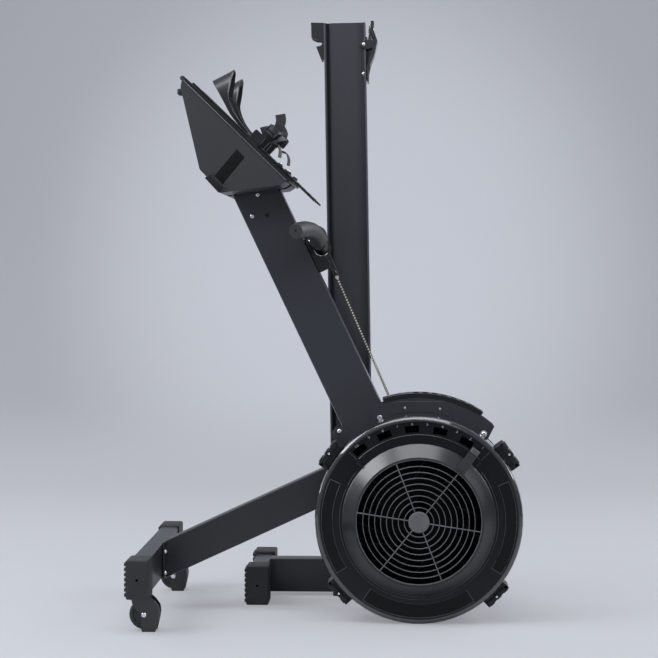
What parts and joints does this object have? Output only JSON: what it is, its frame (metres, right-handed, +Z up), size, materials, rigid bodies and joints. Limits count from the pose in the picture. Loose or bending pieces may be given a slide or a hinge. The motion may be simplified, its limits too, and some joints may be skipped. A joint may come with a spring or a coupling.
{
  "type": "air rowing machine",
  "caption": "Air-resistance rowing machine stored upright as two sections: fan, beam and footrest in front, seat rail behind.",
  "frame": {"origin": "on the floor, under the middle of the whole stored machine", "axes": "+Z up, +X towards the fan's outer rim, +Y from the front section towards the seat rail"},
  "size_m": [0.843, 0.662, 1.3448],
  "materials": {
    "frame_paint": "satin powder coat",
    "leg_paint": "satin powder coat",
    "rail_anodised": "dark anodised",
    "drum_plastic": "semi-gloss black",
    "grille_plastic": "matt grey",
    "panel_plastic": "fine-textured dark grey",
    "black_plastic": "matt black",
    "rubber": "matt rubber",
    "webbing": "woven strap",
    "chain_steel": "nickel-plated links",
    "zinc_steel": "zinc-plated",
    "seat_foam": "moulded foam skin"
  },
  "bodies": {
    "front_frame": {"main_beam": "frame_paint", "front_leg": "leg_paint", "front_foot_bar": "leg_paint", "front_foot_cap_near": "rubber", "front_foot_cap_far": "rubber", "caster_fork_near": "zinc_steel", "caster_fork_far": "zinc_steel", "frame_plate_near": "frame_paint", "frame_plate_far": "frame_paint", "chain_guard": "black_plastic", "fan_back_cover": "drum_plastic", "fan_cover": "drum_plastic", "drive_cover": "drum_plastic", "rim_clip_upper_left": "drum_plastic", "rim_clip_upper_right": "drum_plastic", "rim_clip_lower_left": "drum_plastic", "rim_clip_lower_right": "drum_plastic", "axle_bearing_near": "zinc_steel", "axle_bearing_far": "zinc_steel", "chain_wrap": "chain_steel", "return_cord": "webbing", "handle_holder": "black_plastic", "footrest_housing_near": "panel_plastic", "footrest_housing_far": "panel_plastic", "footboard": "black_plastic", "toe_strap_near": "webbing", "toe_strap_far": "webbing", "strap_buckle_near": "black_plastic", "strap_buckle_far": "black_plastic"},
    "fan": {"fan_wheel": "grille_plastic", "fan_axle": "zinc_steel"},
    "sprocket": {"drive_sprocket": "zinc_steel"},
    "guide_roller": {"guide_roller": "black_plastic"},
    "return_pulley": {"return_pulley": "black_plastic"},
    "damper": {"damper_dial": "drum_plastic", "fan_grille": "grille_plastic"},
    "handle": {"handle_bar": "black_plastic", "grip_near": "rubber", "grip_far": "rubber", "handle_shackle": "zinc_steel", "chain_run": "chain_steel"},
    "foot_near": {"foot_plate_near": "black_plastic", "heel_cup_near": "rubber"},
    "foot_far": {"foot_plate_far": "black_plastic", "heel_cup_far": "rubber"},
    "caster_near": {"caster_wheel_near": "rubber"},
    "caster_far": {"caster_wheel_far": "rubber"},
    "rail_section": {"seat_rail": "rail_anodised", "rail_end_cap": "rubber", "rear_leg": "rail_anodised", "rear_foot_bar": "rail_anodised", "rear_foot_cap_near": "rubber", "rear_foot_cap_far": "rubber", "hook_bracket": "zinc_steel"},
    "lock": {"lock_lever": "zinc_steel"},
    "seat": {"seat_carriage": "zinc_steel", "seat_pad": "seat_foam"},
    "seat_roller_lower": {"seat_roller_lower": "black_plastic"},
    "seat_roller_upper": {"seat_roller_upper": "black_plastic"}
  },
  "joints": [
    {"name": "fan_spin", "type": "hinge", "parent": "front_frame", "child": "fan", "pos_m": [0.19653, -0.026, 0.225], "axis": [0, 1, 0], "continuous": true},
    {"name": "handle_pull", "type": "slide", "parent": "front_frame", "child": "handle", "axis": [-0.4008, 0, 0.9162], "range_m": [0, 0.06], "deforming": ["chain_wrap"]},
    {"name": "sprocket_turn", "type": "hinge", "parent": "front_frame", "child": "sprocket", "pos_m": [0.19653, -0.026, 0.225], "axis": [0, -1, 0], "range_deg": [0, 175]},
    {"name": "guide_roller_turn", "type": "hinge", "parent": "front_frame", "child": "guide_roller", "pos_m": [0.20029, -0.026, 0.29366], "axis": [0, -1, 0], "range_deg": [0, 290]},
    {"name": "return_pulley_turn", "type": "hinge", "parent": "front_frame", "child": "return_pulley", "pos_m": [-0.14078, -0.026, 0.88754], "axis": [0, -1, 0], "range_deg": [0, 195]},
    {"name": "damper_turn", "type": "hinge", "parent": "front_frame", "child": "damper", "pos_m": [0.19653, -0.026, 0.225], "axis": [0, -1, 0], "range_deg": [0, 78]},
    {"name": "foot_slide_near", "type": "slide", "parent": "front_frame", "child": "foot_near", "axis": [0.7183, 0, -0.6958], "range_m": [-0.02, 0.04]},
    {"name": "foot_slide_far", "type": "slide", "parent": "front_frame", "child": "foot_far", "axis": [0.7183, 0, -0.6958], "range_m": [-0.02, 0.04]},
    {"name": "caster_spin_near", "type": "hinge", "parent": "front_frame", "child": "caster_near", "pos_m": [-0.38487, -0.274, 0.0366], "axis": [0, 1, 0], "continuous": true},
    {"name": "caster_spin_far", "type": "hinge", "parent": "front_frame", "child": "caster_far", "pos_m": [-0.38487, 0.222, 0.0366], "axis": [0, 1, 0], "continuous": true},
    {"name": "rail_lift", "type": "slide", "parent": "front_frame", "child": "rail_section", "axis": [0, 0, 1], "range_m": [0, 0.25]},
    {"name": "lock_lever_turn", "type": "hinge", "parent": "rail_section", "child": "lock", "pos_m": [0.06963, 0.179, 1.2901], "axis": [0, -1, 0], "range_deg": [0, 10], "stiffness_Nm_per_rad": 0.4, "springref_deg": -17.19},
    {"name": "seat_slide", "type": "slide", "parent": "rail_section", "child": "seat", "axis": [-0.0166, 0, 0.9999], "range_m": [0, 0.85]},
    {"name": "seat_roller_lower_turn", "type": "hinge", "parent": "seat", "child": "seat_roller_lower", "pos_m": [0.11021, 0.179, 0.12237], "axis": [0, -1, 0], "range_deg": [0, 2960]},
    {"name": "seat_roller_upper_turn", "type": "hinge", "parent": "seat", "child": "seat_roller_upper", "pos_m": [0.10772, 0.179, 0.27235], "axis": [0, -1, 0], "range_deg": [0, 2960]}
  ],
  "couplings": [
    {"joint": "sprocket_turn", "follows": "handle_pull", "rad_per_m": 49.271},
    {"joint": "guide_roller_turn", "follows": "handle_pull", "rad_per_m": 83.333},
    {"joint": "return_pulley_turn", "follows": "handle_pull", "rad_per_m": 55.556},
    {"joint": "seat_roller_lower_turn", "follows": "seat_slide", "rad_per_m": 60.606},
    {"joint": "seat_roller_upper_turn", "follows": "seat_slide", "rad_per_m": 60.606}
  ]
}
